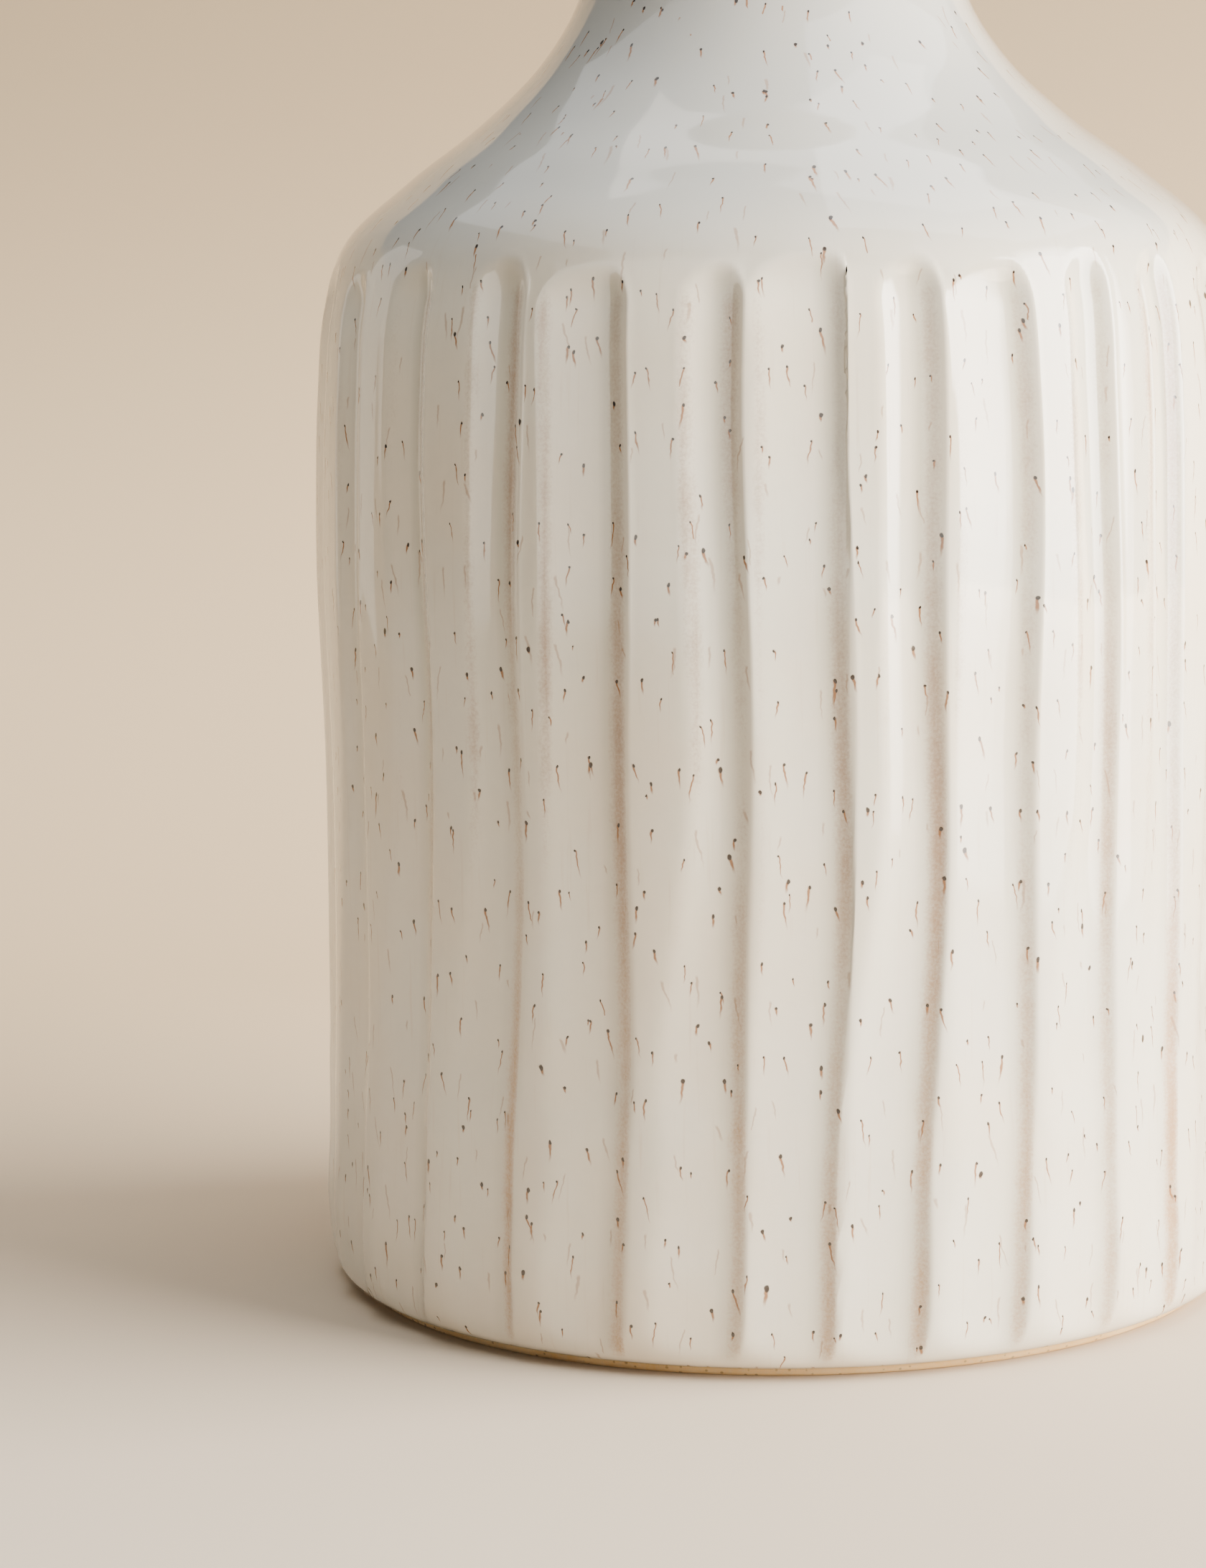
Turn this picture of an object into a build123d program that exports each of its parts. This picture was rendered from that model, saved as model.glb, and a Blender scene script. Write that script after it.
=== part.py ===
from build123d import *
from math import hypot, radians, sin
import os

# Stoneware bottle vase with pressed vertical flutes and a glaze coat inside and out.
# Millimetres, +Z up, origin at the centre of the face it stands on.

# Body: radii are those of the bare clay, heights are above the table
body_radius = 74.2         # upper wall of the body
base_flare = 0.9           # how much wider the wall is where it meets the base
waist_draw = 0.35          # how much narrower it is at the waist
waist_height = 82.0
upper_wall_height = 127.0
shoulder_height = 159.0    # where the wall turns in to the shoulder
shoulder_draw = 2.1        # how far it has come in by there

# Shoulder, neck and lip
shoulder_rise = 47.0       # from the turn of the wall to the foot of the neck
neck_foot_radius = 30.8
neck_waist_radius = 28.0   # the narrowest place
neck_waist_rise = 14.0     # from the foot of the neck to the narrowest place
lip_radius = 33.5
lip_rise = 38.0            # from the foot of the neck to the middle of the lip

# Places down the shoulder, as shares of the way out from the foot of the neck and up to it
shoulder_line = [(0.88, 0.20), (0.64, 0.405), (0.36, 0.60), (0.145, 0.79)]

# Foot and floor
foot_inset = 5.1           # the foot stands in from the base of the wall
bare_height = 1.3          # clay left bare between the table and the glaze
bare_taper = 0.4           # the bare band widens by this as it rises
base_round = 10.2          # height of the rounded base
base_pull_out = 0.45       # the rounding's curve, as shares of its overhang
base_pull_low = 0.10       # and of its height, near the foot
base_pull_high = 0.42      # and near the wall
foot_ring_width = 9.0
recess_depth = 2.0         # the underside is hollowed by this inside the ring
recess_taper = 1.5
floor_thickness = 8.0      # table to the clay floor of the inside
floor_corner = 14.0        # radius where the floor turns up to the wall

# Walls
wall = 6.0                 # clay, before the flutes are pressed
glaze = 0.6                # thickness of each glaze coat
glaze_turn_in = 9.0        # the outer glaze goes over the lip and this far down inside

# Flutes: each is pressed with a round-nosed tool
flute_count = 28
flute_tool_radius = 7.0
flute_depth = 1.5
flute_depth_spread = 0.15  # hand variation, either way
flute_top_rise = 3.3       # last centre of the tool, above the turn of the wall
flute_top_spread = 0.9
flute_follow = 22.0        # height over which the tool follows the turning wall
flute_follow_in = 2.9      # how far the tool moves in over that height
flute_lean = 1.0           # degrees, the lower ends stray to the left
flute_lean_spread = 0.5
flute_first_angle = 3.2    # degrees from the front to the middle of flute 0

# Hand spacing of the flutes: degrees either way, waves round the vase, phase in degrees
flute_wander = (2.56, 3, 143)
flute_jitter = (0.36, 9, 173)

foot_radius = body_radius + base_flare - foot_inset
foot_ring_inner = foot_radius - foot_ring_width
neck_foot_height = shoulder_height + shoulder_rise
lip_height = neck_foot_height + lip_rise
lip_round = wall / 2
crown_radius = lip_radius - lip_round
rim_height = lip_height + lip_round + glaze
glaze_seam = Plane.XY.offset(lip_height - glaze_turn_in)
flute_pitch = 360 / flute_count
tool_overrun = 2 * flute_tool_radius


def slope_place(share_out, share_up):
    """A place on the shoulder, as shares of the way out from the neck and up to it."""
    radius = neck_foot_radius + share_out * (body_radius - neck_foot_radius)
    return radius, shoulder_height + share_up * shoulder_rise


# Places up the outside of the bare clay, from the rounded base to the lip
outline = [
    (body_radius + base_flare, base_round),
    (body_radius - waist_draw, waist_height),
    (body_radius, upper_wall_height),
    (body_radius - shoulder_draw, shoulder_height),
    *[slope_place(out, up) for out, up in shoulder_line],
    (neck_foot_radius, neck_foot_height),
    (neck_waist_radius, neck_foot_height + neck_waist_rise),
    (lip_radius, lip_height),
]
wall_places = 3            # the first places are joined by straight runs


def moved_outline(inset):
    """The outline moved inwards, each place along its own normal."""
    places = []
    for i, (radius, height) in enumerate(outline):
        run, rise = 0.0, 1.0
        if 0 < i < len(outline) - 1:
            run = outline[i + 1][0] - outline[i - 1][0]
            rise = outline[i + 1][1] - outline[i - 1][1]
        length = hypot(run, rise)
        places.append((radius - inset * rise / length, height + inset * run / length))
    return places


def outside_profile(coat, underside):
    """Half section of everything within the outer surface, under a coat of glaze."""
    wall_line = moved_outline(-coat)
    foot_edge = (foot_radius + bare_taper + coat, bare_height)
    overhang = wall_line[0][0] - foot_edge[0]
    rounding = base_round - bare_height
    with BuildSketch(Plane.XZ) as profile:
        with BuildLine():
            Polyline(*underside, foot_edge)
            Bezier(
                foot_edge,
                (foot_edge[0] + base_pull_out * overhang, bare_height + base_pull_low * rounding),
                (wall_line[0][0], bare_height + base_pull_high * rounding),
                wall_line[0],
            )
            Polyline(*wall_line[:wall_places])
            Spline(*wall_line[wall_places - 1:], tangents=[(0, 1), (0, 1)])
            lip = CenterArc((crown_radius, lip_height), lip_round + coat, 0, 90)
            Polyline(lip @ 1, (0, (lip @ 1).Y), underside[0])
        make_face()
    return profile.sketch


def inside_profile(coat, top):
    """Half section of the hollow, with a coat of glaze on its walls, up to a height."""
    wall_line = moved_outline(wall + coat)
    corner = floor_corner - coat
    corner_radius = wall_line[0][0] - corner
    floor = floor_thickness + coat
    with BuildSketch(Plane.XZ) as profile:
        with BuildLine():
            Line((0, floor), (corner_radius, floor))
            turn = CenterArc((corner_radius, floor + corner), corner, -90, 90)
            Polyline(turn @ 1, *wall_line[1:wall_places])
            Spline(*wall_line[wall_places - 1:], tangents=[(0, 1), (0, 1)])
            lip = CenterArc((crown_radius, lip_height), lip_round + coat, 180, -90)
            Polyline(lip @ 1, (crown_radius, top), (0, top), (0, floor))
        make_face()
    return profile.sketch


def wave(number, amount, waves, phase):
    """A smooth variation from flute to flute that closes up round the vase."""
    return amount * sin(radians(360 * waves * number / flute_count + phase))


def flute_tool(number, tool_radius):
    """The space swept by the tool in one flute: straight up, then in with the wall."""
    depth = flute_depth + wave(number, flute_depth_spread, 5, 40)
    top = shoulder_height + flute_top_rise + wave(number, flute_top_spread, 8, 75)
    reach = body_radius + flute_tool_radius - depth
    with BuildPart() as tool:
        with BuildLine(Plane.XZ) as path:
            run = Line((reach, -tool_overrun), (reach, top - flute_follow))
            ThreePointArc(
                run @ 1,
                (reach - flute_follow_in / 4, top - flute_follow / 2),
                (reach - flute_follow_in, top),
            )
        with BuildSketch(Plane.XY.offset(-tool_overrun)):
            with Locations((reach, 0)):
                Circle(tool_radius)
        sweep(path=path.wires()[0])
        with Locations((reach - flute_follow_in, 0, top)):
            Sphere(tool_radius)
    lean = flute_lean + wave(number, flute_lean_spread, 4, 200)
    angle = (
        flute_first_angle + number * flute_pitch
        + wave(number, *flute_wander) + wave(number, *flute_jitter)
    )
    middle = shoulder_height / 2
    return Rot(Z=angle - 90) * Pos(Z=middle) * Rot(X=-lean) * Pos(Z=-middle) * tool.part


clay_tools = [flute_tool(i, flute_tool_radius) for i in range(flute_count)]
glaze_tools = [flute_tool(i, flute_tool_radius - glaze) for i in range(flute_count)]

clay_underside = [
    (0, recess_depth),
    (foot_ring_inner - recess_taper, recess_depth),
    (foot_ring_inner, 0),
    (foot_radius, 0),
]
clay_outside = outside_profile(0, clay_underside)
glaze_underside = [
    (0, floor_thickness),
    (foot_ring_inner, floor_thickness),
    (foot_radius - foot_ring_width / 2, bare_height),
]
glaze_outside = outside_profile(glaze, glaze_underside)
clay_hollow = inside_profile(0, rim_height)
glazed_hollow = inside_profile(glaze, rim_height + glaze)

# The fluted clay before it is hollowed; the outer glaze is fitted to it
with BuildPart() as fluted_form:
    revolve(clay_outside, axis=Axis.Z)
    add(clay_tools, mode=Mode.SUBTRACT)

# Fired stoneware: body, shoulder, neck, lip and foot ring in one thrown piece
with BuildPart() as clay_body:
    add(fluted_form.part)
    revolve(clay_hollow, axis=Axis.Z, mode=Mode.SUBTRACT)

# Glaze on the inside of the clay, floor to crown, before it is shared out at the seam
with BuildPart() as lining:
    revolve(clay_hollow, axis=Axis.Z)
    revolve(glazed_hollow, axis=Axis.Z, mode=Mode.SUBTRACT)

# Glaze outside, from the bare band above the foot, up over the flutes and the lip
with BuildPart() as outer_glaze:
    revolve(glaze_outside, axis=Axis.Z)
    add(glaze_tools, mode=Mode.SUBTRACT)
    add(fluted_form.part, mode=Mode.SUBTRACT)
    revolve(clay_hollow, axis=Axis.Z, mode=Mode.SUBTRACT)
    add(split(lining.part, bisect_by=glaze_seam, keep=Keep.TOP, mode=Mode.PRIVATE))

# Glaze inside, from the seam below the lip down to the floor
with BuildPart() as liner_glaze:
    add(lining.part)
    split(bisect_by=glaze_seam, keep=Keep.BOTTOM)

os.makedirs("parts", exist_ok=True)

clay_body.part.label = "clay_body"
export_step(clay_body.part, "parts/clay_body.step")

outer_glaze.part.label = "outer_glaze"
export_step(outer_glaze.part, "parts/outer_glaze.step")

liner_glaze.part.label = "liner_glaze"
export_step(liner_glaze.part, "parts/liner_glaze.step")
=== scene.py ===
import math

import bmesh
import bpy
import numpy as np
from mathutils import Matrix, Vector, noise


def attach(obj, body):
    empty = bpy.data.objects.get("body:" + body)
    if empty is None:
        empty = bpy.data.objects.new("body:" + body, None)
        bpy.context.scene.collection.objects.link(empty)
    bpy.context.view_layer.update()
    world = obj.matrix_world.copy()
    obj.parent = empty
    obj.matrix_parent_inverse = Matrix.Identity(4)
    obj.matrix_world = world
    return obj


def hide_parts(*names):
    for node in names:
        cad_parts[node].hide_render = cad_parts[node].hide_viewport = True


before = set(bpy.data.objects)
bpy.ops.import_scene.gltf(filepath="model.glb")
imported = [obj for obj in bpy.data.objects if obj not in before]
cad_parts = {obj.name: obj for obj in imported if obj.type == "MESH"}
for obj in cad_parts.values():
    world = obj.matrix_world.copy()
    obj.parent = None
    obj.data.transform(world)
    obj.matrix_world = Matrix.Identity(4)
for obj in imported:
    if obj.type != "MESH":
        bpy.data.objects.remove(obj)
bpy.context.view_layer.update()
mm = 0.001
print("frame loaded")

# Shape shared by the glaze, the clay and the liner. Radii and heights in mm, at the glaze's
# outer face; the last number is how many rows of faces lead up to the next place.
vaseShape = {
    "outline": [
        (71.05, 1.3, 2), (73.2, 2.3, 3), (75.0, 5.0, 3), (75.65, 9.5, 4), (75.3, 26.0, 6), (74.6, 58.0, 6),
        (74.5, 90.0, 6), (74.85, 122.0, 5), (74.15, 145.0, 13), (72.75, 158.6, 12), (69.9, 168.0, 8),
        (59.1, 178.4, 6), (46.9, 187.6, 5), (37.6, 196.5, 5), (31.5, 206.0, 5), (28.6, 220.0, 5),
        (30.9, 233.0, 4), (33.4, 240.5, 2), (34.1, 244.0, 0),
    ],
    "coat": 0.6,          # each glaze coat
    "wall": 6.0,          # clay
    "lipRound": 3.6,      # over the glaze
    "lipSteps": 12,
    "turnIn": 9.0,        # the outer glaze goes this far down inside the neck
    "footRadius": 70.0,
    "ringInner": 61.0,
    "recess": 2.0,
    "floor": 8.0,
    "floorCorner": 14.0,
}

# Pressed flutes, in mm and degrees. Angles count from the front, to the right.
flutes = {
    "count": 28,
    "columns": 20,        # columns of faces in each flute
    "crowd": 0.6,         # how much the columns crowd at the crests
    "firstCrest": 6.5,
    # hand variations: amount, waves round the vase, phase in degrees
    "wander": (2.56, 3, 143), "jitter": (0.36, 9, 173),
    "depthSpread": (0.15, 5, 40), "topSpread": (1.0, 8, 75), "driftSpread": (0.8, 6, 30),
    "leftSpread": (0.5, 7, 10), "widePick": (0.8, 4, 90),
    "depth": 1.42,
    "rightHalf": 3.4,     # steep side, from the deepest line to the crest
    "leftHalf": 5.2,      # gentle side, high on the wall
    "leftHalfWide": 9.8,  # and in the few flutes that were pressed wider
    "leftHalfLow": 11.0,  # and low on the wall, where the edge softens away
    "softFrom": 95.0, "softTo": 30.0,
    "crestRound": 0.3,
    "topHeight": 159.6, "archHeight": 5.5,
    "driftFrom": 80.0, "drift": 2.1, "driftPower": 1.3,   # lower ends stray to the left
    "wobble": 0.28, "wobbleShort": 13, "wobbleLong": 31,
    "bead": 0.13, "beadAt": 1.13, "beadWidth": 0.11,      # clay pushed up round each flute's top
    "baseRadius": 75.6, "baseHeight": 40, "baseFade": 0.8,   # they run out where the base rounds in
    "highFrom": 70, "highTo": 130,    # between these the look changes from low to high on the wall
    "unevenness": 0.16, "unevenAround": 2.6, "unevenUp": 34,   # slow waves of the whole wall
}

# Where the glaze thins to brown beside the crests, and the darker band on each flute's steep wall, partly
# pooled glaze and partly painted shade. Distances from the crest, mm
glazeFlow = {
    "band": 0.50, "bandLow": 0.04, "bandSpread": (0.12, 9, 0), "bandWave": 0.13, "bandWaveHeight": 17,
    "bandMiddle": 1.7, "bandMiddleLow": 0.4, "bandWidth": 1.6, "bandCut": (0.35, -0.5),
    "streaksAndShade": 0.3, "streaksAt": 306, "streaksHalf": 15,   # one stretch, left of the front and away from the key lamp, with stronger brown bands: partly thinner glaze, partly painted shade
    "poolAndShade": 2.5, "poolAndShadeWidth": 2.0, "poolAndShadeLow": 0.45,
    "pale": 0.42, "paleSpread": (0.25, 5, 200), "paleFrom": 45, "paleTo": 110,   # gentle side's edge
    "paleWave": 0.1, "paleWaveHeight": 11, "paleWidth": 1.1,
}


def smooth(low, high, x):
    t = np.clip((x - low) / (high - low), 0, 1)
    return t * t * (3 - 2 * t)


def around(k, amount, waves, phase):    # a variation that closes up round the vase
    return amount * np.sin(np.radians(360 * waves * k / flutes["count"] + phase))


def crestAngle(k, z):    # degrees, of the sharp right-hand crest of flute k at height z
    f = flutes
    base = f["firstCrest"] + 360 * k / f["count"] + around(k, *f["wander"]) + around(k, *f["jitter"])
    fall = np.clip((f["driftFrom"] - z) / f["driftFrom"], 0, 1) ** f["driftPower"]
    drift = (f["drift"] + around(k, *f["driftSpread"])) * fall
    wobble = f["wobble"] * np.sin(z / f["wobbleShort"] + 2.1 * k)
    wobble = wobble + 0.6 * f["wobble"] * np.sin(z / f["wobbleLong"] + 4.4 * k)
    return base - drift + wobble


def smoothLine(places):    # a line through the places, eased from one to the next
    pts = np.array([p[:2] for p in places])
    gaps = np.linalg.norm(np.diff(pts, axis=0), axis=1)
    slopes = np.diff(pts, axis=0) / gaps[:, None]
    tangents = np.vstack([slopes[:1], (slopes[:-1] * gaps[1:, None] + slopes[1:] * gaps[:-1, None])
                          / (gaps[:-1] + gaps[1:])[:, None], [[0, 1]]])
    line = []
    for i, gap in enumerate(gaps):
        for t in np.arange(places[i][2]) / places[i][2]:
            h = (2 * t**3 - 3 * t**2 + 1, t**3 - 2 * t**2 + t, -2 * t**3 + 3 * t**2, t**3 - t**2)
            line.append(h[0] * pts[i] + h[1] * gap * tangents[i] + h[2] * pts[i + 1]
                        + h[3] * gap * tangents[i + 1])
    return np.array(line + [pts[-1]])


def movedIn(line, distance):    # the same line, moved towards the inside of the wall
    run = np.gradient(line, axis=0)
    run /= np.linalg.norm(run, axis=1)[:, None]
    return line + distance * np.column_stack([-run[:, 1], run[:, 0]])


def arc(centre, radius, start, end, steps):    # degrees in the profile's plane
    a = np.radians(np.linspace(start, end, steps + 1))
    return np.column_stack([centre[0] + radius * np.cos(a), centre[1] + radius * np.sin(a)])


outer = smoothLine(vaseShape["outline"])
upLength = np.concatenate([[0], np.cumsum(np.linalg.norm(np.diff(outer, axis=0), axis=1))])
lipCentre = (outer[-1][0] - vaseShape["lipRound"], outer[-1][1])
clayOuter = movedIn(outer, vaseShape["coat"])
clayInner = movedIn(outer, vaseShape["coat"] + vaseShape["wall"])
lining = movedIn(outer, 2 * vaseShape["coat"] + vaseShape["wall"])


def fluteFields(angle, z, r):
    # how deep the pressing is, how much the glaze breaks to brown, and how much darker glaze lies on the
    # steep wall, partly pooled glaze and partly painted shade
    f, g = flutes, glazeFlow
    v = np.interp(z, outer[:, 1], upLength)
    cell = np.floor((angle - f["firstCrest"]) / (360 / f["count"]))
    high = smooth(f["highFrom"], f["highTo"], z)
    soft = smooth(f["softFrom"], f["softTo"], z)
    inFromWall = f["baseRadius"] - np.interp(z, outer[:, 1], outer[:, 0])
    leaving = np.clip(inFromWall, 0, 9) * (z < f["baseHeight"])
    # stronger bands on the side away from the key lamp: partly thinner glaze, partly painted shade
    streaksAndShade = g["streaksAndShade"] * high * np.exp(-(((angle - g["streaksAt"]) / g["streaksHalf"]) ** 2))
    depth, breaking, poolAndShade = np.zeros_like(z), np.zeros_like(z), np.zeros_like(z)
    for step in (-1, 0, 1, 2):
        k = cell + step
        s = np.radians(angle - crestAngle(k, z)) * r     # mm, right of this flute's crest
        u = s + f["rightHalf"]
        wide = smooth(0.3, 0.8, around(k, 1.0, f["count"] / 2, 90) + around(k, *f["widePick"]))
        left = f["leftHalf"] + around(k, *f["leftSpread"]) + (f["leftHalfWide"] - f["leftHalf"]) * wide
        left = left + (f["leftHalfLow"] - left) * soft
        deep = f["depth"] + around(k, *f["depthSpread"])
        top = np.interp(f["topHeight"] + around(k, *f["topSpread"]), outer[:, 1], upLength)
        over = np.maximum(v - top, 0) / f["archHeight"]
        reach = np.sqrt((u / np.where(u < 0, left, f["rightHalf"])) ** 2 + over**2)
        x = deep * (1 - reach**2) - leaving * f["baseFade"]
        depth += (x + np.sqrt(x * x + f["crestRound"] ** 2)) / 2
        depth -= f["bead"] * high * np.exp(-(((reach - f["beadAt"]) / f["beadWidth"]) ** 2))
        below = smooth(0.75, 0.0, over)
        strong = g["band"] + g["bandLow"] * (1 - high) + around(k, *g["bandSpread"])
        strong = strong + g["bandWave"] * np.sin(z / g["bandWaveHeight"] + 3 * k) + streaksAndShade
        middle = g["bandMiddle"] - g["bandMiddleLow"] * (1 - high)
        band = strong * np.exp(-(((s + middle) / g["bandWidth"]) ** 2)) * smooth(*g["bandCut"], s)
        breaking = np.maximum(breaking, below * band)
        # a darker band over each flute's steep, left-facing wall: partly pooled glaze, partly painted shade
        deepest = np.exp(-(((s + g["poolAndShade"]) / g["poolAndShadeWidth"]) ** 4)) * smooth(1.0, 0.6, reach)
        poolAndShade = np.maximum(poolAndShade, deepest * (g["poolAndShadeLow"] + (1 - g["poolAndShadeLow"]) * high))
        pale = (g["pale"] + around(k, *g["paleSpread"])) * smooth(g["paleFrom"], g["paleTo"], z)
        pale = pale + g["paleWave"] * np.sin(z / g["paleWaveHeight"] + 5 * k)
        breaking = np.maximum(breaking, below * pale * np.exp(-(((u + left) / g["paleWidth"]) ** 2)))
    fade = smooth(1.5, 5.0, z)    # none on the bare clay
    return depth, np.clip(breaking, 0, 1) * fade, poolAndShade * fade


def pieceFrom(bm, name):
    for face in bm.faces:
        face.smooth = True
    mesh = bpy.data.meshes.new(name)
    bm.to_mesh(mesh)
    bm.free()
    piece = bpy.data.objects.new(name, mesh)
    bpy.context.scene.collection.objects.link(piece)
    return piece


def spun(name, profile, closed, columns):    # a closed shell from a half section in mm
    bm = bmesh.new()
    verts = [bm.verts.new((p[0] * mm, 0, p[1] * mm)) for p in profile]
    edges = [bm.edges.new(pair) for pair in zip(verts, verts[1:])]
    if closed:
        edges.append(bm.edges.new((verts[-1], verts[0])))
    bmesh.ops.spin(bm, geom=verts + edges, cent=(0, 0, 0), axis=(0, 0, 1), dvec=(0, 0, 0),
                   angle=2 * math.pi, steps=columns, use_merge=True, use_duplicate=False)
    bmesh.ops.remove_doubles(bm, verts=bm.verts, dist=0.01 * mm)
    bmesh.ops.recalc_face_normals(bm, faces=bm.faces)
    return pieceFrom(bm, name)


def pressFlutes(piece):    # columns follow the crests, then the flutes are pressed in
    f = flutes
    co = np.zeros(len(piece.data.vertices) * 3)
    piece.data.vertices.foreach_get("co", co)
    co = co.reshape(-1, 3)
    r, z = np.hypot(co[:, 0], co[:, 1]) / mm, co[:, 2] / mm
    turn = np.degrees(np.arctan2(co[:, 0], -co[:, 1])) % 360 / (360 / f["count"])
    k = np.floor(turn + 1e-4)    # a column that is just short of a crest belongs to it
    t = turn - k
    t = t - f["crowd"] * np.sin(2 * np.pi * t) / (2 * np.pi)
    angle = crestAngle(k, z) * (1 - t) + crestAngle(k + 1, z) * t
    depth, breaking, poolAndShade = fluteFields(angle, z, r)
    turned = f["unevenAround"] * np.column_stack([np.sin(np.radians(angle)), np.cos(np.radians(angle))])
    places = np.column_stack([turned, z / f["unevenUp"]])
    waves = f["unevenness"] * np.array([noise.noise(Vector(place)) for place in places])
    slope = np.gradient(outer, axis=0)
    slope /= np.linalg.norm(slope, axis=1)[:, None]
    lean = np.interp(z, outer[:, 1], slope[:, 0])
    rise = np.interp(z, outer[:, 1], slope[:, 1])
    isOutside = np.interp(z, outer[:, 1], outer[:, 0]) - r < vaseShape["wall"] / 2 - 0.5
    push = np.where(isOutside, depth + waves * smooth(2, 12, z) * smooth(240, 225, z), 0)
    r, z = r - push * rise, z + push * lean
    a = np.radians(angle)
    co = np.column_stack([r * np.sin(a), -r * np.cos(a), z]) * mm
    piece.data.vertices.foreach_set("co", co.ravel())
    piece.data.update()
    for name, values in (("edgeBreak", breaking), ("glazePoolAndShade", poolAndShade)):
        layer = piece.data.attributes.new(name, "FLOAT", "POINT")
        layer.data.foreach_set("value", np.where(isOutside, values, 0).astype(np.float32))


columnsAround = flutes["count"] * flutes["columns"]
linerColumns = 160
insideFrom = 30    # height, mm, where the inside wall has risen clear of its floor's corner

# Outer glaze: over the flutes, shoulder, neck and lip, and a little way down inside
aboveSeam = outer[:, 1] > outer[-1][1] - vaseShape["turnIn"]
turnedIn = lining[aboveSeam][-2::-1]
turnedInBack = clayInner[aboveSeam][:-1]
lipFront = arc(lipCentre, vaseShape["lipRound"], 0, 180, vaseShape["lipSteps"])[1:]
clayLipRound = vaseShape["lipRound"] - vaseShape["coat"]
lipBack = arc(lipCentre, clayLipRound, 180, 0, 6)
archRows = range(45, 64)    # rows of the outline that cross the flutes' tops
coarse = [i for i in range(len(clayOuter) - 1) if i % 3 == 0 or i in archRows and i % 2 == 0]
glazeProfile = np.vstack([outer, lipFront, turnedIn, turnedInBack, lipBack, clayOuter[coarse][::-1]])
outerGlaze = spun("outerGlaze", glazeProfile, True, columnsAround)
pressFlutes(outerGlaze)
print("outer glaze", len(outerGlaze.data.polygons), "faces")

# Clay: the foot ring, recess, wall, neck and lip, fluted under the glaze
corner, floor = vaseShape["floorCorner"], vaseShape["floor"]
ring, foot, recess = vaseShape["ringInner"], vaseShape["footRadius"], vaseShape["recess"]
floorTurn = arc((clayInner[4][0] - corner, floor + corner), corner, 0, -90, 6)
up = [i for i in coarse if outer[i][1] > insideFrom]
underside = [
    (0, recess), (ring - 2.2, recess), (ring - 1.3, recess - 0.4), (ring - 0.2, 0.3), (ring + 0.5, 0.0),
    (foot - 0.5, 0.0), (foot, 0.12), (foot + 0.3, 0.6),
]
clayProfile = np.vstack([
    underside, clayOuter[[0] + coarse[1:]], arc(lipCentre, clayLipRound, 0, 180, 8),
    clayInner[up][::-1], floorTurn, [(0, floor)],
])
clayBody = spun("clayBody", clayProfile, False, columnsAround // 2)
pressFlutes(clayBody)
print("clay body", len(clayBody.data.polygons), "faces")

# Liner: the glaze inside, from the seam in the neck down over the floor
linerCorner = corner - vaseShape["coat"]
linerFloor = floor + vaseShape["coat"]
linerTurn = arc((lining[4][0] - linerCorner, linerFloor + linerCorner), linerCorner, 0, -90, 8)
belowSeam = outer[:, 1] < outer[-1][1] - vaseShape["turnIn"]
downLine = [i for i in range(len(outer)) if i % 2 == 0 and insideFrom < outer[i][1] and belowSeam[i]]
linerProfile = np.vstack([
    [(0, linerFloor)], linerTurn[::-1], lining[downLine], [turnedIn[-1]], [turnedInBack[0]],
    clayInner[downLine][::-1], floorTurn, [(0, floor)],
])
linerGlaze = spun("linerGlaze", linerProfile, False, linerColumns)
print("liner glaze", len(linerGlaze.data.polygons), "faces")


mapRadius = 74.5 * mm    # where the flat map is at full size


def mapAround(piece):    # a flat map round the vase, in which spots keep their shape at every radius
    stretch = np.concatenate([[0], np.cumsum(np.diff(upLength) / ((outer[1:, 0] + outer[:-1, 0]) / 2))])
    uv = piece.data.uv_layers.new(name="aroundMap")
    co = np.zeros(len(piece.data.vertices) * 3)
    piece.data.vertices.foreach_get("co", co)
    co = co.reshape(-1, 3)
    corners = np.zeros(len(piece.data.loops), int)
    piece.data.loops.foreach_get("vertex_index", corners)
    turn = np.arctan2(co[:, 0], -co[:, 1])[corners]
    owner = np.zeros(len(piece.data.loops), int)
    for poly in piece.data.polygons:
        owner[poly.loop_start:poly.loop_start + poly.loop_total] = poly.index
    highest = np.full(len(piece.data.polygons), -9.0)
    np.maximum.at(highest, owner, turn)
    acrossSeam = (highest[owner] > 2) & (turn < 0)    # faces over the join at the back stay whole
    turn = np.where(acrossSeam, turn + 2 * math.pi, turn)
    up = np.interp(co[:, 2][corners] / mm, outer[:, 1], stretch)
    uv.data.foreach_set("uv", np.column_stack([turn, up]).ravel() * mapRadius)


mapAround(outerGlaze)
mapAround(linerGlaze)


# Node helpers
def newMaterial(name):
    mat = bpy.data.materials.new(name)
    mat.use_nodes = True
    return mat, mat.node_tree, mat.node_tree.nodes["Principled BSDF"]


def newGroup(name, inputs, outputs):
    tree = bpy.data.node_groups.new(name, "ShaderNodeTree")
    for title, kind, value in inputs:
        socket = tree.interface.new_socket(title, in_out="INPUT", socket_type=kind)
        if value is not None:
            socket.default_value = value
    for title, kind in outputs:
        tree.interface.new_socket(title, in_out="OUTPUT", socket_type=kind)
    return tree, tree.nodes.new("NodeGroupInput"), tree.nodes.new("NodeGroupOutput")


def put(tree, kind, **values):
    node = tree.nodes.new(kind)
    for name, value in values.items():
        setattr(node, name, value)
    return node


def plug(tree, value, socket):
    if isinstance(value, bpy.types.NodeSocket):
        tree.links.new(value, socket)
    else:
        socket.default_value = value


def calc(tree, operation, *values):
    node = put(tree, "ShaderNodeMath", operation=operation)
    for value, socket in zip(values, node.inputs):
        plug(tree, value, socket)
    return node.outputs[0]


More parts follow.
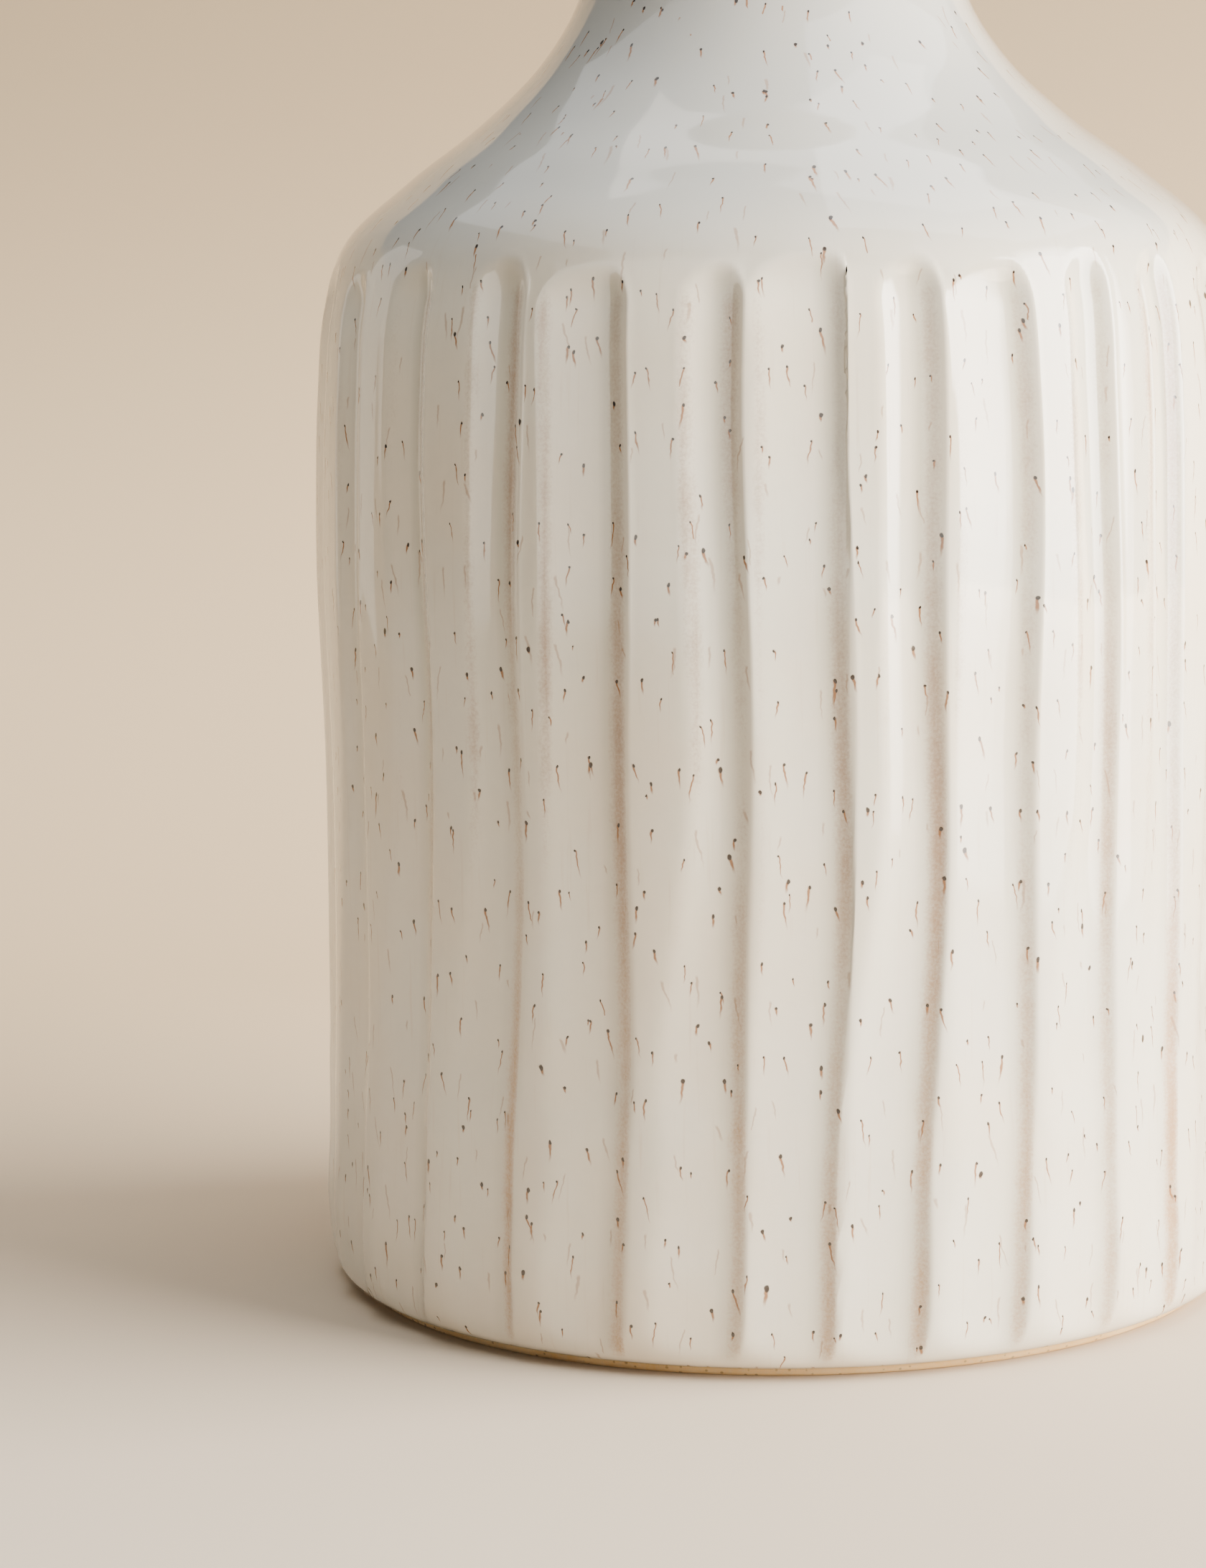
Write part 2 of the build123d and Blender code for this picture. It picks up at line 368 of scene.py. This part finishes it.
def vectorCalc(tree, operation, *values):
    node = put(tree, "ShaderNodeVectorMath", operation=operation)
    for value, socket in zip(values, node.inputs):
        plug(tree, value, socket)
    return node.outputs["Value" if operation in ("LENGTH", "DOT_PRODUCT") else "Vector"]


def scaleBy(tree, vector, amount):
    node = put(tree, "ShaderNodeVectorMath", operation="SCALE")
    plug(tree, vector, node.inputs[0])
    plug(tree, amount, node.inputs["Scale"])
    return node.outputs[0]


def ramp(tree, value, low, high, toLow=0.0, toHigh=1.0):
    node = put(tree, "ShaderNodeMapRange", interpolation_type="SMOOTHSTEP")
    for item, socket in zip((value, low, high, toLow, toHigh), node.inputs):
        plug(tree, item, socket)
    return node.outputs[0]


def blendColor(tree, share, first, second, mode="MIX"):
    node = put(tree, "ShaderNodeMix", data_type="RGBA", blend_type=mode)
    plug(tree, share, node.inputs[0])
    plug(tree, first, node.inputs[6])
    plug(tree, second, node.inputs[7])
    return node.outputs[2]


def noiseAt(tree, vector, scale, detail=2.0, rough=0.5, output="Fac"):
    node = put(tree, "ShaderNodeTexNoise")
    plug(tree, vector, node.inputs["Vector"])
    plug(tree, scale, node.inputs["Scale"])
    node.inputs["Detail"].default_value = detail
    node.inputs["Roughness"].default_value = rough
    return node.outputs[output]


def bumpFrom(tree, shader, height, strength, distance):    # distance in mm
    node = put(tree, "ShaderNodeBump")
    node.inputs["Strength"].default_value = strength
    node.inputs["Distance"].default_value = distance * mm
    plug(tree, height, node.inputs["Height"])
    plug(tree, node.outputs[0], shader.inputs["Normal"])


def groupIn(tree, group, **values):
    node = put(tree, "ShaderNodeGroup", node_tree=group)
    for name, value in values.items():
        plug(tree, value, node.inputs[name])
    return node.outputs


# Iron speckles: a dark dot with a rust tail that ran down in the firing. Lengths in mm
speckleShape = {
    "wobbleScale": 0.9, "wobble": 0.5,
    "scatter": 0.9,                          # how far the dots leave an even grid
    "smallest": 0.7, "growth": 0.75,         # size of the dots, as shares of the one given
    "squash": 0.75,
    "dotEdge": (1.15, 0.75),
    "shortest": 0.25, "lengthGrowth": 1.1,   # of the tails, as shares of the one given
    "slant": 0.55, "slantMiddle": 0.42,
    "bend": 0.12, "bendRate": 1.1,
    "width": 1.2, "taper": -0.5, "core": 0.3,
    "tailTop": (-0.35, 0.15), "tailEnd": (1.0, 0.45),
}


def speckleGroup():
    f = speckleShape
    tree, start, end = newGroup(
        "ironSpeckle",
        [("Map", "NodeSocketVector", None), ("Radius", "NodeSocketFloat", 1.0),
         ("Shift", "NodeSocketFloat", 0.0), ("Across", "NodeSocketFloat", 9.0),
         ("Down", "NodeSocketFloat", 14.0), ("Share", "NodeSocketFloat", 0.6),
         ("Dot", "NodeSocketFloat", 0.3), ("Tail", "NodeSocketFloat", 4.0)],
        [("Dots", "NodeSocketFloat"), ("Tails", "NodeSocketFloat")],
    )
    get = start.outputs
    flat = vectorCalc(tree, "MULTIPLY", get["Map"], (1 / mm, 1 / mm, 0))
    flat = vectorCalc(tree, "ADD", flat, get["Shift"])
    warp = noiseAt(tree, flat, f["wobbleScale"], 1, output="Color")
    warp = vectorCalc(tree, "SUBTRACT", warp, (0.5, 0.5, 0.5))
    warp = vectorCalc(tree, "MULTIPLY", warp, (f["wobble"], f["wobble"], 0))
    size = put(tree, "ShaderNodeCombineXYZ")
    plug(tree, get["Across"], size.inputs[0])
    plug(tree, get["Down"], size.inputs[1])
    size.inputs[2].default_value = 1
    cells = vectorCalc(tree, "DIVIDE", flat, size.outputs[0])
    voronoi = put(tree, "ShaderNodeTexVoronoi", voronoi_dimensions="2D")
    plug(tree, cells, voronoi.inputs["Vector"])
    voronoi.inputs["Scale"].default_value = 1
    voronoi.inputs["Randomness"].default_value = f["scatter"]
    away = vectorCalc(tree, "SUBTRACT", cells, voronoi.outputs["Position"])
    away = vectorCalc(tree, "MULTIPLY", away, size.outputs[0])
    away = vectorCalc(tree, "ADD", away, warp)
    away = scaleBy(tree, away, get["Radius"])
    place = put(tree, "ShaderNodeSeparateXYZ")
    plug(tree, away, place.inputs[0])
    chance = put(tree, "ShaderNodeSeparateColor")
    plug(tree, voronoi.outputs["Color"], chance.inputs[0])
    pick, sizes, slants = chance.outputs
    # fewer where the vase narrows, because the map's cells are smaller there
    allowed = calc(tree, "MULTIPLY", get["Share"], calc(tree, "POWER", get["Radius"], 2.0))
    here = calc(tree, "LESS_THAN", pick, allowed)
    grown = calc(tree, "MULTIPLY_ADD", calc(tree, "POWER", sizes, 2.0), f["growth"], f["smallest"])
    dotSize = calc(tree, "MULTIPLY", get["Dot"], grown)
    across = place.outputs[0]
    down = calc(tree, "MULTIPLY", place.outputs[1], -1.0)
    squashed = calc(tree, "POWER", calc(tree, "MULTIPLY", down, f["squash"]), 2.0)
    fromDot = calc(tree, "SQRT", calc(tree, "ADD", calc(tree, "POWER", across, 2.0), squashed))
    rim, solid = [calc(tree, "MULTIPLY", dotSize, share) for share in f["dotEdge"]]
    dots = ramp(tree, fromDot, rim, solid)
    other = calc(tree, "FRACT", calc(tree, "MULTIPLY", pick, 37.0))    # a second random number
    grown = calc(tree, "MULTIPLY_ADD", other, f["lengthGrowth"], f["shortest"])
    length = calc(tree, "MULTIPLY", get["Tail"], grown)
    along = calc(tree, "DIVIDE", down, length)
    slope = calc(tree, "MULTIPLY", calc(tree, "SUBTRACT", slants, f["slantMiddle"]), f["slant"])
    turn = calc(tree, "ADD", calc(tree, "MULTIPLY", down, f["bendRate"]), calc(tree, "MULTIPLY", sizes, 6.0))
    bend = calc(tree, "MULTIPLY", calc(tree, "SINE", turn), f["bend"])
    side = calc(tree, "SUBTRACT", across, calc(tree, "MULTIPLY_ADD", down, slope, bend))
    side = calc(tree, "ABSOLUTE", side)
    wide = calc(tree, "MULTIPLY", dotSize, calc(tree, "MULTIPLY_ADD", along, f["taper"], f["width"]))
    tails = ramp(tree, side, wide, calc(tree, "MULTIPLY", wide, f["core"]))
    ends = calc(tree, "MULTIPLY", ramp(tree, along, *f["tailEnd"]), ramp(tree, down, *f["tailTop"]))
    tails = calc(tree, "MULTIPLY", tails, ends)
    plug(tree, calc(tree, "MULTIPLY", dots, here), end.inputs["Dots"])
    plug(tree, calc(tree, "MULTIPLY", tails, here), end.inputs["Tails"])
    return tree


# Colour of the glaze itself: drift, faint runs and fine mottling
driftShape = {
    "slow": (34, 3, 0.55), "fine": (420, 3, 0.6), "runs": (1.0, 3, 0.6),   # scale, detail, roughness
    "patches": (0.3, 0.7), "runStretch": (1000, 45, 0), "runEdge": (0.58, 0.78),
    "runColor": (0.70, 0.60, 0.48, 1),
    "mottle": 0.07, "darkest": 0.965,
}


def driftGroup():
    f = driftShape
    tree, start, end = newGroup(
        "glazeDrift",
        [("Place", "NodeSocketVector", None), ("Map", "NodeSocketVector", None),
         ("Thin", "NodeSocketColor", (0.8, 0.76, 0.7, 1)), ("Thick", "NodeSocketColor", (0.8, 0.8, 0.78, 1)),
         ("Runs", "NodeSocketFloat", 0.2)],
        [("Color", "NodeSocketColor"), ("Waves", "NodeSocketFloat")],
    )
    get = start.outputs
    slow = noiseAt(tree, get["Place"], *f["slow"])
    fine = noiseAt(tree, get["Place"], *f["fine"])
    runs = noiseAt(tree, vectorCalc(tree, "MULTIPLY", get["Map"], f["runStretch"]), *f["runs"])
    color = blendColor(tree, ramp(tree, slow, *f["patches"]), get["Thin"], get["Thick"])
    runs = calc(tree, "MULTIPLY", ramp(tree, runs, *f["runEdge"]), get["Runs"])
    color = blendColor(tree, runs, color, f["runColor"])
    bright = calc(tree, "MULTIPLY_ADD", fine, f["mottle"], f["darkest"])
    plug(tree, scaleBy(tree, color, bright), end.inputs["Color"])
    plug(tree, slow, end.inputs["Waves"])
    return tree


ironSpeckle = speckleGroup()
glazeDrift = driftGroup()

glazeLook = {
    "thin": (0.80, 0.73, 0.60, 1),
    "thick": (0.79, 0.755, 0.655, 1),
    # darker grey over the shoulder: partly the thicker glaze's cooler tone, partly painted shade on the
    # upward-facing top
    "shoulder": (0.465, 0.465, 0.44, 1),
    # colour of the darker band on the flutes' steep walls: partly pooled glaze, partly painted shade
    "poolAndShade": (0.55, 0.525, 0.42, 1),
    "break": (0.44, 0.32, 0.235, 1),
    "breakLow": (0.54, 0.335, 0.185, 1),
    "tail": (0.30, 0.12, 0.035, 1),
    "dot": (0.022, 0.014, 0.012, 1),
    "edge": (0.13, 0.075, 0.07, 1),
    "runs": 0.5,
    "shoulderFrom": 158, "shoulderTo": 178, "shoulderShare": 0.9,    # heights in mm
    "poolAndShadeShare": 0.6,
    "grain": 2300, "grainShare": 0.6, "patch": 130, "patchShare": 0.5,   # of the brown edges
    "breakFrom": 0.12, "breakTo": 0.95, "lowFrom": 110, "lowTo": 25,
    "tailShare": 0.92, "dotShare": 0.96, "ghostShare": 0.5,
    "edgeTop": 1.95, "edgeBottom": 1.45, "edgeWave": 0.8, "edgeShare": 0.75,   # dark line above the foot
    "roughness": 0.055, "roughDrift": 0.06, "roughBreak": 0.12, "roughLow": 0.10,
    "ior": 1.55, "coat": 0.8, "coatRoughness": 0.03,
    "bump": 0.35, "bumpHeight": 0.05, "peel": 260, "runStretch": (1100, 30, 0),
    "runBump": 0.35, "dotBump": 0.6, "grainBump": 0.5,
    # shift, across, down, share, dot, tail
    "speckles": [(3.0, 6.5, 10.0, 0.84, 0.205, 3.4), (71.0, 7.5, 12.0, 0.82, 0.195, 3.1),
                 (143.0, 10.0, 16.0, 0.62, 0.27, 2.2)],
    "ghosts": (211.0, 5.5, 12.0, 0.7, 0.22, 4.5),    # tails with hardly any dot
}


def specklesIn(tree, flat, ratio, values):
    shift, across, down, share, dot, tail = values
    out = groupIn(tree, ironSpeckle, Map=flat, Radius=ratio, Shift=shift, Across=across, Down=down,
                  Share=share, Dot=dot, Tail=tail)
    return out["Dots"], out["Tails"]


def glazeMaterial(name, outside):
    look = glazeLook
    mat, tree, shader = newMaterial(name)
    flat = put(tree, "ShaderNodeUVMap", uv_map="aroundMap").outputs[0]
    place = put(tree, "ShaderNodeTexCoord").outputs["Object"]
    split = put(tree, "ShaderNodeSeparateXYZ")
    plug(tree, place, split.inputs[0])
    x, y, z = split.outputs
    radius = calc(tree, "ADD", calc(tree, "POWER", x, 2.0), calc(tree, "POWER", y, 2.0))
    ratio = calc(tree, "DIVIDE", calc(tree, "SQRT", radius), mapRadius)
    drift = groupIn(tree, glazeDrift, Place=place, Map=flat, Thin=look["thin"], Thick=look["thick"],
                    Runs=look["runs"] if outside else 0.0)
    # the shoulder and neck blend towards a darker grey: partly the thicker glaze's cooler tone, partly
    # painted shade on the upward-facing top
    shoulderShadeShare = ramp(tree, z, look["shoulderFrom"] * mm, look["shoulderTo"] * mm)
    shoulderShadeShare = calc(tree, "MULTIPLY", shoulderShadeShare, look["shoulderShare"])
    color = blendColor(tree, shoulderShadeShare, drift["Color"], look["shoulder"])
    rough = calc(tree, "MULTIPLY_ADD", drift["Waves"], look["roughDrift"], look["roughness"] - 0.02)
    peel = noiseAt(tree, place, look["peel"], 2, 0.5)
    if outside:
        # darker grey-beige on the flutes' steep walls: partly pooled glaze, partly painted shade
        poolAndShade = put(tree, "ShaderNodeAttribute", attribute_name="glazePoolAndShade").outputs["Fac"]
        color = blendColor(tree, calc(tree, "MULTIPLY", poolAndShade, look["poolAndShadeShare"]), color, look["poolAndShade"])

        # brown where the glaze is thin, grainy and patchy
        # edgeBreak also carries the stronger bands away from the key lamp, which are partly painted shade
        breaking = put(tree, "ShaderNodeAttribute", attribute_name="edgeBreak").outputs["Fac"]
        grain = noiseAt(tree, place, look["grain"], 2, 0.6)
        patch = noiseAt(tree, place, look["patch"], 3, 0.6)
        share = look["patchShare"]
        amount = calc(tree, "ADD", breaking, calc(tree, "MULTIPLY_ADD", patch, share, -share / 2))
        share = look["grainShare"]
        amount = calc(tree, "ADD", amount, calc(tree, "MULTIPLY_ADD", grain, share, -share / 2))
        amount = ramp(tree, amount, look["breakFrom"], look["breakTo"])
        amount = calc(tree, "MULTIPLY", amount, ramp(tree, breaking, 0.02, 0.25))
        lower = ramp(tree, z, look["lowFrom"] * mm, look["lowTo"] * mm)
        brown = blendColor(tree, lower, look["break"], look["breakLow"])
        color = blendColor(tree, amount, color, brown)

        dots, tails = 0.0, 0.0
        for values in look["speckles"]:
            newDots, newTails = specklesIn(tree, flat, ratio, values)
            dots = calc(tree, "MAXIMUM", dots, newDots)
            tails = calc(tree, "MAXIMUM", tails, newTails)
        newDots, newTails = specklesIn(tree, flat, ratio, look["ghosts"])
        tails = calc(tree, "MAXIMUM", tails, calc(tree, "MULTIPLY", newTails, look["ghostShare"]))
        color = blendColor(tree, calc(tree, "MULTIPLY", tails, look["tailShare"]), color, look["tail"])
        color = blendColor(tree, calc(tree, "MULTIPLY", dots, look["dotShare"]), color, look["dot"])

        wave = look["edgeWave"] * mm
        edge = calc(tree, "ADD", z, calc(tree, "MULTIPLY_ADD", patch, wave, -wave / 2))
        edge = ramp(tree, edge, look["edgeTop"] * mm, look["edgeBottom"] * mm)
        color = blendColor(tree, calc(tree, "MULTIPLY", edge, look["edgeShare"]), color, look["edge"])

        rough = calc(tree, "ADD", rough, calc(tree, "MULTIPLY", amount, look["roughBreak"]))
        rough = calc(tree, "ADD", rough, ramp(tree, z, 60 * mm, 5 * mm, 0.0, look["roughLow"]))
        runs = noiseAt(tree, vectorCalc(tree, "MULTIPLY", flat, look["runStretch"]), 1.0, 2, 0.6)
        peel = calc(tree, "ADD", peel, calc(tree, "MULTIPLY", runs, look["runBump"]))
        peel = calc(tree, "SUBTRACT", peel, calc(tree, "MULTIPLY", dots, look["dotBump"]))
        grit = calc(tree, "MULTIPLY", grain, calc(tree, "MULTIPLY", amount, look["grainBump"]))
        peel = calc(tree, "ADD", peel, grit)
    plug(tree, color, shader.inputs["Base Color"])
    plug(tree, rough, shader.inputs["Roughness"])
    shader.inputs["IOR"].default_value = look["ior"]
    shader.inputs["Coat Weight"].default_value = look["coat"]
    shader.inputs["Coat Roughness"].default_value = look["coatRoughness"]
    bumpFrom(tree, shader, peel, look["bump"], look["bumpHeight"])
    return mat


clayLook = {
    "pale": (0.80, 0.53, 0.22, 1), "paler": (0.88, 0.64, 0.33, 1),
    "grit": (0.78, 0.64, 0.43, 1), "gritShare": 0.35,
    "speck": (0.20, 0.12, 0.07, 1), "speckShare": 0.55, "speckScale": 700, "speckEdge": (0.22, 0.12),
    "slow": (60, 3, 0.6), "grain": (1500, 2, 0.7),    # scale, detail, roughness
    "rough": (0.72, 0.9), "bump": 0.5, "bumpHeight": 0.12,
}


def clayMaterial():
    look = clayLook
    mat, tree, shader = newMaterial("bareStoneware")
    place = put(tree, "ShaderNodeTexCoord").outputs["Object"]
    slow = noiseAt(tree, place, *look["slow"])
    grit = noiseAt(tree, place, *look["grain"])
    specks = put(tree, "ShaderNodeTexVoronoi")
    plug(tree, place, specks.inputs["Vector"])
    specks.inputs["Scale"].default_value = look["speckScale"]
    color = blendColor(tree, ramp(tree, slow, 0.3, 0.7), look["pale"], look["paler"])
    color = blendColor(tree, ramp(tree, grit, 0.35, 0.75, 0.0, look["gritShare"]), color, look["grit"])
    speck = ramp(tree, specks.outputs["Distance"], *look["speckEdge"], 0.0, look["speckShare"])
    color = blendColor(tree, speck, color, look["speck"])
    plug(tree, color, shader.inputs["Base Color"])
    plug(tree, ramp(tree, grit, 0.2, 0.8, *look["rough"]), shader.inputs["Roughness"])
    bumpFrom(tree, shader, grit, look["bump"], look["bumpHeight"])
    return mat


outerGlaze.data.materials.append(glazeMaterial("speckledGlaze", True))
linerGlaze.data.materials.append(glazeMaterial("innerGlaze", False))
clayBody.data.materials.append(clayMaterial())
print("materials done")

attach(outerGlaze, "root")
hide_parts("outer_glaze")
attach(clayBody, "root")
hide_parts("clay_body")
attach(linerGlaze, "root")
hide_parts("liner_glaze")

# Stage: a pale floor that sweeps up behind into a warm wall. Metres
stage = {
    "front": -0.9, "back": 0.55, "bend": 0.28, "height": 0.5, "half": 1.6, "steps": 12,
    "floorPaint": (0.615, 0.52, 0.415, 1), "wallPaint": (0.63, 0.49, 0.32, 1),
    "paintFrom": -0.15, "paintTo": 0.3,
    "wallFalloffShade": 0.40, "dimFrom": 0.02, "dimTo": 0.27,    # painted shade: the sweep and wall darken upwards, where the light falls off
    "roughness": 0.9, "gloss": 0.1,
}


def sweepFloor():
    s = stage
    bend, foot = s["bend"], s["back"] - s["bend"]
    turns = [math.radians(90 * i / s["steps"]) for i in range(1, s["steps"] + 1)]
    line = [(s["front"], 0.0), (foot, 0.0)]
    line += [(foot + bend * math.sin(a), bend - bend * math.cos(a)) for a in turns]
    line.append((s["back"], s["height"]))
    bm = bmesh.new()
    verts = [bm.verts.new((-s["half"], y, z)) for y, z in line]
    edges = [bm.edges.new(pair) for pair in zip(verts, verts[1:])]
    grown = bmesh.ops.extrude_edge_only(bm, edges=edges)["geom"]
    far = [v for v in grown if isinstance(v, bmesh.types.BMVert)]
    bmesh.ops.translate(bm, vec=(2 * s["half"], 0, 0), verts=far)
    bmesh.ops.recalc_face_normals(bm, faces=bm.faces)
    if sum(face.normal.z for face in bm.faces) < 0:
        bmesh.ops.reverse_faces(bm, faces=bm.faces)
    sweep = pieceFrom(bm, "sweep")
    mat, tree, shader = newMaterial("stagePaint")
    place = put(tree, "ShaderNodeTexCoord").outputs["Object"]
    split = put(tree, "ShaderNodeSeparateXYZ")
    plug(tree, place, split.inputs[0])
    x, y, z = split.outputs
    color = blendColor(tree, ramp(tree, y, s["paintFrom"], s["paintTo"]), s["floorPaint"], s["wallPaint"])
    # painted shade: the paint darkens with height up the sweep and wall, in place of light falling off
    wallFalloffShade = ramp(tree, z, s["dimFrom"], s["dimTo"], 0.0, s["wallFalloffShade"])
    color = blendColor(tree, wallFalloffShade, color, (0, 0, 0, 1))
    plug(tree, color, shader.inputs["Base Color"])
    shader.inputs["Roughness"].default_value = s["roughness"]
    shader.inputs["Specular IOR Level"].default_value = s["gloss"]
    # seen from behind, the wall is clear, so that it doesn't hide the vase
    clear = put(tree, "ShaderNodeBsdfTransparent")
    behind = put(tree, "ShaderNodeNewGeometry").outputs["Backfacing"]
    oneWay = put(tree, "ShaderNodeMixShader")
    plug(tree, behind, oneWay.inputs[0])
    plug(tree, shader.outputs[0], oneWay.inputs[1])
    plug(tree, clear.outputs[0], oneWay.inputs[2])
    plug(tree, oneWay.outputs[0], tree.nodes["Material Output"].inputs["Surface"])
    sweep.data.materials.append(mat)


sweepFloor()

# Lights: angles in degrees from the front to the right and up, distances and sizes in metres. A lamp
# of several cards fades out downwards where the glaze mirrors it: each card is "drop" degrees lower
lamps = {
    "keyBox": {"at": (76, 17, 1.25), "size": (1.3, 1.2), "power": 112.0, "color": (1.0, 0.935, 0.84),
               "only": "light"},
    "keyShine": {"at": (74, 17, 0.62), "size": (0.35, 0.40), "power": 0.82, "color": (1.0, 0.98, 0.95),
                 "only": "shine", "cards": 6, "drop": 1.3, "narrow": 0.01, "taller": 0.015},
    "keyGlow": {"at": (73, 7, 0.50), "size": (0.30, 0.42), "power": 2.3, "color": (1.0, 0.97, 0.92),
                "only": "shine"},
    "topBox": {"at": (98, 62, 1.35), "size": (1.0, 1.0), "power": 6.5, "color": (0.95, 0.98, 1.0)},
    "fillBox": {"at": (-40, 76, 1.2), "size": (1.0, 1.0), "power": 8.0, "color": (0.97, 0.98, 1.0),
                "only": "light"},
    "wallBox": {"at": (165, 70, 1.2), "size": (1.0, 0.4), "power": 2.0, "color": (1.0, 0.93, 0.85)},
    "ceiling": {"at": (90, 80, 1.25), "size": (2.6, 3.0), "power": 18.5, "color": (0.95, 0.98, 1.0),
                "only": "shine"},
    "frontCard": {"at": (-15, 20, 0.9), "size": (1.5, 0.8), "power": 1.6, "color": (1.0, 0.95, 0.85),
                  "only": "shine", "cards": 5, "drop": 1.8, "narrow": 0, "taller": 0},
    "sideCard": {"at": (-118, 3, 0.9), "size": (0.20, 0.9), "power": 0.42, "color": (1.0, 0.95, 0.86),
                 "only": "shine"},
}
lampTarget = Vector((0, 0, 0.12))


def softbox(name, values, card):
    azimuth, rise, distance = values["at"]
    width, height = values["size"]
    if "cards" in values:
        name = f"{name}{card}"
        rise = rise - values["drop"] * card
        width = width - values["narrow"] * card
        height = height + values["taller"] * card
    light = bpy.data.lights.new(name, "AREA")
    light.shape = "RECTANGLE"
    light.size, light.size_y = width, height
    light.energy, light.color = values["power"], values["color"]
    lamp = bpy.data.objects.new(name, light)
    a, e = math.radians(azimuth), math.radians(rise)
    away = Vector((math.cos(e) * math.sin(a), -math.cos(e) * math.cos(a), math.sin(e)))
    lamp.location = lampTarget + distance * away
    lamp.rotation_euler = away.to_track_quat("Z", "Y").to_euler()
    lamp.visible_diffuse = values.get("only") != "shine"
    lamp.visible_glossy = values.get("only") != "light"
    lamp.visible_camera = False
    bpy.context.scene.collection.objects.link(lamp)


for name, values in lamps.items():
    for card in range(values.get("cards", 1)):
        softbox(name, values, card)

room = {"color": (0.95, 0.98, 0.90, 1), "strength": 0.17}
world = bpy.data.worlds.new("room")
world.use_nodes = True
background = world.node_tree.nodes["Background"]
background.inputs["Color"].default_value = room["color"]
background.inputs["Strength"].default_value = room["strength"]
bpy.context.scene.world = world

# Camera: a long lens, a little above the vase's middle
view = {"distance": 0.6436, "height": 0.1629, "yaw": 2.59, "pitch": 7.3, "roll": -0.91, "lens": 90.66,
        "sensor": 36, "clip": 0.01}
camera = bpy.data.objects.new("camera", bpy.data.cameras.new("camera"))
camera.data.lens = view["lens"]
camera.data.sensor_width = view["sensor"]
camera.data.clip_start = view["clip"]
camera.matrix_world = (
    Matrix.Translation((0, -view["distance"], view["height"]))
    @ Matrix.Rotation(math.radians(view["yaw"]), 4, "Z")
    @ Matrix.Rotation(math.radians(90 - view["pitch"]), 4, "X")
    @ Matrix.Rotation(math.radians(view["roll"]), 4, "Z")
)
bpy.context.scene.collection.objects.link(camera)
bpy.context.scene.camera = camera
print("stage, lights and camera set")
